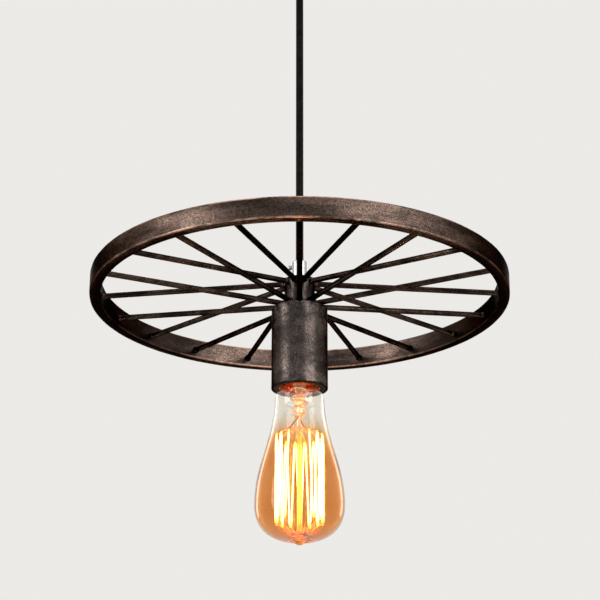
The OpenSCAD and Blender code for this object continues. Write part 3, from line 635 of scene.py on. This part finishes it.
def spokes():
    """Straight drawn rods, each with an uneven weld bead at the hub and at the rim.

    By turns they start in the hub's lower and upper row. Three of them are welded a little askew.
    """
    count, sides = 20, 20
    rod_r, bead_r, bead_length = 0.002, 0.0026, 0.0022
    lower_row, upper_row, rim_row = -0.0102, 0.0074, -0.0014
    rim_r, clearance, steps = WHEEL_R - BAND, 0.00005, 24
    askew = {1: 1.25, 20: 0.8, 19: 0.4}
    marks = [0, 0.0003, 0.0007, 0.0011, 0.0015, 0.0019, 0.0024, 0.003]
    for number in range(1, count + 1):
        name = f"spoke_{number:02d}"
        turn = math.radians(360 / count * (number - 1) - 90 + askew.get(number, 0))
        row = lower_row if number % 2 else upper_row
        start_z = row + (rim_row - row) * HUB_R / rim_r
        start = polar(HUB_R + clearance, turn, WHEEL_Z + start_z)
        stop = polar(rim_r - clearance, turn, WHEEL_Z + rim_row)
        length = (stop - start).length
        plain = length - 2 * marks[-1]
        along = marks + [marks[-1] + plain * k / steps for k in range(1, steps)]
        along += [length - mark for mark in marks[::-1]]
        radii = []
        for s in along:
            end = min(s, length - s)
            bead = max(0.0, 1 - (end / bead_length) ** 2) * (bead_r - rod_r)
            radii.append(rod_r + bead)
        path = [start.lerp(stop, s / length) for s in along]
        points, faces = tube(path, radii, sides)
        shaped = []
        for i, p in enumerate(points):
            out = (p - path[i // sides]).normalized()
            bead = radii[i // sides] - rod_r
            shaped.append(p + out * (rough(p, 900, 0.25 * bead) + rough(p, 150, 0.00006)))
        wear_and_glow = [0.8 if along[i // sides] < bead_length else 0.0 for i in range(len(points))]
        add_piece(f"{name}_rod", shaped, faces, "lamp", [name], ROD_IRON, wear_and_glow)


def hub():
    """The turned barrel with eased edges, worn dark."""
    corner, inset, sides = 0.0007, 0.00005, 96
    low, high, bore = hub_low.z, hub_high.z, 0.005
    outline = (arc(HUB_R - corner, low + corner, corner, -90, 0, 3)
               + [(HUB_R, low + (high - low) * k / 8) for k in range(1, 8)]
               + arc(HUB_R - corner, high - corner, corner, 0, 90, 3)
               + [(bore, high), (bore, low)])
    worn = [1.0 if z < low + corner or z > high - corner else 0.0 for r, z in outline]

    def shape(r, z, turn):
        if r <= bore:
            return r, z
        return r - inset + rough(polar(r, turn, z), 250, 0.00008), z

    points, faces = lathe(outline, sides, shape)
    add_piece("hub_barrel", points, faces, "lamp", ["hub"], HUB_IRON, worn * sides)


rim()
spokes()
hub()


# The socket

def cup():
    """The deep-drawn cup: round shoulder, thin wall and an eased lip at the mouth."""
    outer, wall, edge, lip = CUP_R, 0.001, 0.0015, 0.0004
    high, low, bore = cup_high.z, MOUTH_Z, 0.005
    inset, sides, steps = 0.00006, 144, 14
    inner, above_lip, shoulder = outer - wall, low + 0.0012, high - edge
    side = [(outer, shoulder + (above_lip - shoulder) * k / steps) for k in range(1, steps + 1)]
    outline = ([(bore, high), (0.011, high)]
               + arc(outer - edge, shoulder, edge, 90, 0, 8)
               + side
               + arc(outer - lip, low + lip, lip, 0, -90, 3)
               + arc(inner + lip, low + lip, lip, -90, -180, 3)
               + [(inner, above_lip), (inner, low + 0.012), (inner, shoulder)]
               + arc(outer - edge, shoulder, edge - wall, 0, 90, 4)
               + [(bore, high - wall)])
    worn = [1.0 if z < low + lip + 0.0001 else 0.0 for r, z in outline]

    def shape(r, z, turn):
        if r < 0.012:
            return r, z
        place = polar(r, turn, z)
        return r - inset + rough(place, 120, 0.00008) + rough(place, 600, 0.00003), z

    points, faces = lathe(outline, sides, shape)
    add_piece("cup_shell", points, faces, "lamp", ["socket_cup"], CUP_IRON, worn * sides)


def rolled_thread(r_out, low, high):
    """A thin tube rolled into a screw thread, with the same turn and pitch as the solid's."""
    sides, steps = 72, 14
    rings = round((high - low) / THREAD_PITCH * steps)

    def radius(turn, z):
        return r_out - THREAD_DEPTH / 2 * (1 - math.cos(turn - 2 * math.pi * z / THREAD_PITCH))

    points, faces = [], []
    for inset in (0, THREAD_SHEET):
        for k in range(rings + 1):
            z = low + (high - low) * k / rings
            for j in range(sides):
                turn = 2 * math.pi * j / sides
                r = radius(turn, z) - inset
                points.append((r * math.cos(turn), r * math.sin(turn), z))
    layer = (rings + 1) * sides
    for k in range(rings):
        for j in range(sides):
            a, b = k * sides + j, k * sides + (j + 1) % sides
            faces.append((a, b, b + sides, a + sides))
            faces.append((b + layer, a + layer, a + sides + layer, b + sides + layer))
    for j in range(sides):
        a, b, top = j, (j + 1) % sides, rings * sides
        faces.append((b, a, a + layer, b + layer))
        faces.append((a + top, b + top, b + top + layer, a + top + layer))
    return points, faces


def threads():
    """The lampholder's shell and the bulb's cap; the inner face of each is marked in the wear layer and
    takes a painted orange glow.
    """
    clearance = 0.00003
    shell_low, shell_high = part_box("lampholder_shell")
    points, faces = rolled_thread(shell_high.x, shell_low.z, shell_high.z)
    half = len(points) // 2
    add_piece("shell_thread", points, faces, "lamp", ["lampholder_shell"], CAP_BRASS,
              [0.0] * half + [1.0] * half, sharp=60)
    points, faces = rolled_thread(CAP_R, cap_low.z, cap_high.z - clearance)
    half = len(points) // 2
    add_piece("cap_thread", points, faces, "bulb", ["bulb_cap"], CAP_BRASS,
              [0.0] * half + [1.0] * half, sharp=60)


cup()
threads()


# The bulb

def glass_profile(inset):
    """Neck in the cap, flare, long body and round dome, from the top down."""
    cap_r, neck_r, body_r = CAP_NECK_R - inset, NECK_R - inset, BODY_R - inset
    dome, fullness = DOME - inset, 0.8
    flare, body, bottom = 14, 48, 32
    profile = [(cap_r, CAP_EDGE + 0.006)]
    for i in range(flare + 1):
        t = i / flare
        profile.append((cap_r + (neck_r - cap_r) * ease(t), FLARE_Z + (NECK_Z - FLARE_Z) * t))
    for i in range(1, body + 1):
        t = i / body
        profile.append((neck_r + (body_r - neck_r) * ease(t), NECK_Z - BODY_LENGTH * t))
    for i in range(1, bottom + 1):
        a = math.pi / 2 * i / bottom
        r = body_r * max(math.cos(a), 0) ** fullness
        profile.append((r, WIDEST_Z - dome * math.sin(a) ** fullness))
    return profile


def glass():
    """One thin wall of blown glass, thick and dimpled where its tip was sealed and twisted off."""
    low, tip_r = BOTTOM_Z, 0.0045
    blob_r, blob_h = 0.0130, 0.0005
    outside = [(r, z) for r, z in glass_profile(0) if r > tip_r]
    outside += [(0.0042, low - 0.0001), (0.0037, low - 0.0004), (0.0034, low - 0.0010),
                (0.0031, low - 0.0017), (0.0025, low - 0.0023), (0.0015, low - 0.0028), (0, low - 0.003)]
    inside = []
    for r, z in glass_profile(GLASS):
        swell = max(0.0, 1 - (r / blob_r) ** 2) ** 2 * blob_h
        inside.append((r, z + (swell if z < WIDEST_Z else 0)))
    inside[-1] = (0, inside[-1][1])
    profile = inside[::-1] + outside

    def shape(r, z, turn):
        if z >= low + 0.0045 or r >= blob_r:
            return r, z
        twist = math.cos(3 * turn + 1000 * r)
        fade = math.sin(math.pi * r / blob_r) ** 2
        lift = 0.0009 * (twist + 0.4) * fade if z > low - 0.0002 else 0.0
        return r * (1 + 0.03 * twist * fade), z + lift

    points, faces = lathe(profile, 120, shape, closed=False)
    add_piece("glass_envelope", points, faces, "bulb", ["bulb_glass"], AMBER, sharp=70)


def turn_of(k):
    """Direction of the k-th bend of the filament, which leaves an opening at the front."""
    return math.radians((CAGE_GAP - 180) / 2 + (360 - CAGE_GAP) * k / TURNS)


def stem():
    """The pressed glass stem and the rod, with a bead at each end."""
    top = STEM_TOP
    profile = [(0, top), (0.0104, top), (0.0104, top - 0.0007), (0.0080, top - 0.0022),
               (0.0056, top - 0.0048), (0.0042, top - 0.0078), (0.0034, top - 0.0112),
               (0.0030, NECK_Z - 0.001), (0.0029, NECK_Z - 0.0035), (0.0024, NECK_Z - 0.0056),
               (0.0020, NECK_Z - 0.0074), (0.0018, NECK_Z - 0.0090)]
    rod_r, swell = 0.0018, 0.0006
    for z in (TOP_HUB, LOW_HUB):
        profile.append((rod_r, z + 0.0030))
        for k in range(1, 6):
            profile.append((rod_r + swell * math.sin(math.pi * k / 6), z + 0.0018 - 0.0036 * k / 6))
        if z == TOP_HUB:
            profile.append((rod_r, z - 0.0030))
    profile += [(rod_r * 0.9, LOW_HUB - 0.0018), (0.0009, LOW_HUB - 0.0021), (0, LOW_HUB - 0.0022)]
    points, faces = lathe(profile, 40, closed=False)

    def pinch(p):
        """The press is flat: wide across X and thin across Y."""
        t = max(0.0, 1 - abs(p[2] - NECK_Z + 0.003) / 0.006)
        return (p[0] * (1 + 0.25 * t), p[1] * (1 - 0.35 * t), p[2])

    pinched = [pinch(p) for p in points]
    add_piece("glass_stem", pinched, faces, "bulb", ["bulb_stem"], STEM, sharp=60)


def filament():
    """The cage: one coiled wire that zigzags over the hooks, first as a path and then as its coil."""
    spacing, shoulder, step = 0.00013, 0.0009, math.radians(2)
    pitch, coil_r, wire_r = 0.0011, 0.00042, 0.00022
    bends = []
    for k in range(TURNS + 1):
        top = k % 2 == 0
        z = TOP_Z if top else LOW_Z
        inward = z - shoulder if top else z + shoulder
        if k in (0, TURNS):
            bends.append((turn_of(k), z))
        else:
            bends += [(turn_of(k) - step, inward), (turn_of(k), z), (turn_of(k) + step, inward)]
    corners = [polar(CAGE_R, turn, z) for turn, z in bends]
    path = [corners[0]]
    for a, b in zip(corners, corners[1:]):
        count = max(2, round((b - a).length / spacing))
        path += [a.lerp(b, i / count) for i in range(1, count + 1)]
    coil, done = [], 0.0
    for i, (p, across, side) in enumerate(frames(path)):
        if i:
            done += (p - path[i - 1]).length
        a = 2 * math.pi * done / pitch
        coil.append(p + coil_r * (across * math.cos(a) + side * math.sin(a)))
    points, faces = tube(coil, wire_r, 3)
    add_piece("filament_coil", points, faces, "bulb", ["bulb_filament"], GLOW, sharp=180)


def leads():
    """Two wires that curl round the stem and run out to the filament's ends, and two up into the cap."""
    wire_r, steps = 0.00055, 36
    parts = []
    high, low = CAP_EDGE - 0.0045, TOP_HUB + 0.0095
    left, right = turn_of(TURNS), turn_of(0)
    ways = ((left, 3.2, [polar(0.0085, left, TOP_Z + 0.0074)]),
            (right, 2.4, [polar(0.0030, right, TOP_Z + 0.0090), polar(0.0085, right, TOP_Z + 0.0036)]))
    for index, (turn, turns, way) in enumerate(ways):
        loop = []
        for i in range(steps):
            t = i / (steps - 1)
            phase = 2.6 * index
            r = 0.0062 - 0.0032 * t + 0.0008 * math.sin(17 * t + phase)
            angle = turn + (index - 0.5) * 4 * math.pi * turns * (1 - t)
            loop.append(polar(r, angle, high + (low - high) * t + 0.0012 * math.sin(12 * t + phase)))
        end = polar(CAGE_R - 0.0006, turn, TOP_Z + 0.0005)
        parts.append(tube(smooth_path(loop + way + [end], 4), wire_r, 8))
    start, wall = STEM_TOP, CAP_NECK_R - GLASS - 0.001
    contact_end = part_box("bulb_contact")[0].z - 0.0003
    to_contact = [(0, 0, start), (0, 0, start + 0.007), (0, 0, contact_end)]
    to_cap = [(-0.003, 0, start), (-0.004, 0, start + 0.0022), (-0.008, 0, start + 0.0024),
              (-wall, 0, start + 0.0045), (-wall, 0, start + 0.007)]
    parts.append(tube(smooth_path(to_contact, 4), wire_r, 8))
    parts.append(tube(smooth_path(to_cap, 6), wire_r, 8))
    points, faces = join(*parts)
    add_piece("lead_wires", points, faces, "bulb", ["bulb_leads"], COPPER, sharp=60)


def supports():
    """The two spiders: wires that spread from the glass beads, each with a small hook at its end."""
    wire_r, hook_r = 0.00028, 0.00075
    hook_turns = [math.radians(degrees) for degrees in (180, 130, 80, 30, -20, -70)]
    parts = []
    for k in range(1, TURNS):
        turn = turn_of(k)
        hub_z, end_z, up = (LOW_HUB, LOW_Z, -1) if k % 2 else (TOP_HUB, TOP_Z, 1)
        arm = [polar(0.0022, turn, hub_z), polar(0.0075, turn, hub_z + up * 0.0006),
               polar(CAGE_R - 0.0022, turn, end_z + up * 0.00144)]
        hook = [polar(CAGE_R + hook_r * math.cos(t), turn, end_z + up * hook_r * math.sin(t))
                for t in hook_turns]
        parts.append(tube(smooth_path(arm + hook, 4), wire_r, 6))
    points, faces = join(*parts)
    add_piece("cage_spiders", points, faces, "bulb", ["bulb_supports"], COPPER, sharp=60)


glass()
stem()
filament()
leads()
supports()

# Stage: a pale floor one room's height below the ceiling, and plain soft light
AMBIENT = 0.42
BACKDROP = (0.84, 0.825, 0.80, 1)


def seen_rays(tree):
    """1 for the rays that see the stage: straight, mirrored or through glass."""
    rays = tree.nodes.new("ShaderNodeLightPath")
    result = rays.outputs["Is Camera Ray"]
    for name in ("Is Glossy Ray", "Is Transmission Ray"):
        larger = tree.nodes.new("ShaderNodeMath")
        larger.operation = "MAXIMUM"
        tree.links.new(result, larger.inputs[0])
        tree.links.new(rays.outputs[name], larger.inputs[1])
        result = larger.outputs[0]
    return result


def floor_paint():
    """Pale matt paint, lifted towards the backdrop's colour where it is seen."""
    f = Finish("floor", Roughness=0.9)
    f.set("Base Color", f.mix(f.noise(3), (0.80, 0.79, 0.77), (0.82, 0.81, 0.79)))
    f.set("Emission Color", BACKDROP)
    f.set("Emission Strength", f.math("MULTIPLY", seen_rays(f.tree), 0.5))
    return f.material


FLOOR_Z = -2.4
FLOOR_SIDE = 60
half = FLOOR_SIDE / 2
floor_mesh = bpy.data.meshes.new("floor")
floor_corners = [(x, y, FLOOR_Z) for x, y in ((-half, -half), (half, -half), (half, half), (-half, half))]
floor_mesh.from_pydata(floor_corners, [], [(0, 1, 2, 3)])
floor_mesh.materials.append(floor_paint())
floor = bpy.data.objects.new("floor", floor_mesh)
scene.collection.objects.link(floor)

world = bpy.data.worlds.new("studio")
scene.world = world
world.use_nodes = True
sky = world.node_tree
sky.nodes.clear()
ambient = sky.nodes.new("ShaderNodeBackground")
ambient.inputs["Color"].default_value = (1.0, 0.98, 0.96, 1)
ambient.inputs["Strength"].default_value = AMBIENT
seen = sky.nodes.new("ShaderNodeBackground")
seen.inputs["Color"].default_value = BACKDROP
choose = sky.nodes.new("ShaderNodeMixShader")
result = sky.nodes.new("ShaderNodeOutputWorld")
sky.links.new(seen_rays(sky), choose.inputs[0])
sky.links.new(ambient.outputs[0], choose.inputs[1])
sky.links.new(seen.outputs[0], choose.inputs[2])
sky.links.new(choose.outputs[0], result.inputs["Surface"])


def softbox(name, azimuth, height, distance, width, tall, watts):
    """A soft area lamp that faces the wheel; azimuth 0 is the camera's side."""
    lamp = bpy.data.lights.new(name, "AREA")
    lamp.shape = "RECTANGLE"
    lamp.size, lamp.size_y = width, tall
    lamp.energy = watts
    lamp.color = (1.0, 0.975, 0.94)
    holder = bpy.data.objects.new(name, lamp)
    scene.collection.objects.link(holder)
    a = math.radians(azimuth)
    holder.location = (distance * math.sin(a), -distance * math.cos(a), height)
    aim = Vector((0, 0, WHEEL_Z - 0.03)) - holder.location
    holder.rotation_euler = aim.to_track_quat("-Z", "Y").to_euler()
    holder.visible_camera = False


# Name, azimuth, height, distance, width, tall side and watts
softbox("key_left", -60, -0.25, 1.7, 0.8, 1.4, 12)
softbox("key_right", 45, -0.25, 1.7, 1.2, 1.4, 16)
softbox("back_left", -135, 0.1, 1.9, 0.4, 1.3, 4)
softbox("back_right", 135, 0.1, 1.9, 0.4, 1.3, 4)
softbox("overhead", 0, 1.6, 0.4, 1.6, 0.4, 9)

# The lit bulb's own light, which moves with the bulb
bulb_light = bpy.data.lights.new("bulb_light", "POINT")
bulb_light.energy = 0.9
bulb_light.color = (1.0, 0.46, 0.15)
bulb_light.shadow_soft_size = 0.012
bulb_lamp = bpy.data.objects.new("bulb_light", bulb_light)
scene.collection.objects.link(bulb_lamp)
bulb_lamp.location = (0, 0, CAGE_MIDDLE)
bulb_lamp.visible_camera = False
bulb_lamp.visible_glossy = False
bulb_lamp.visible_transmission = False
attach(bulb_lamp, "bulb")

scene.view_settings.view_transform = "Standard"
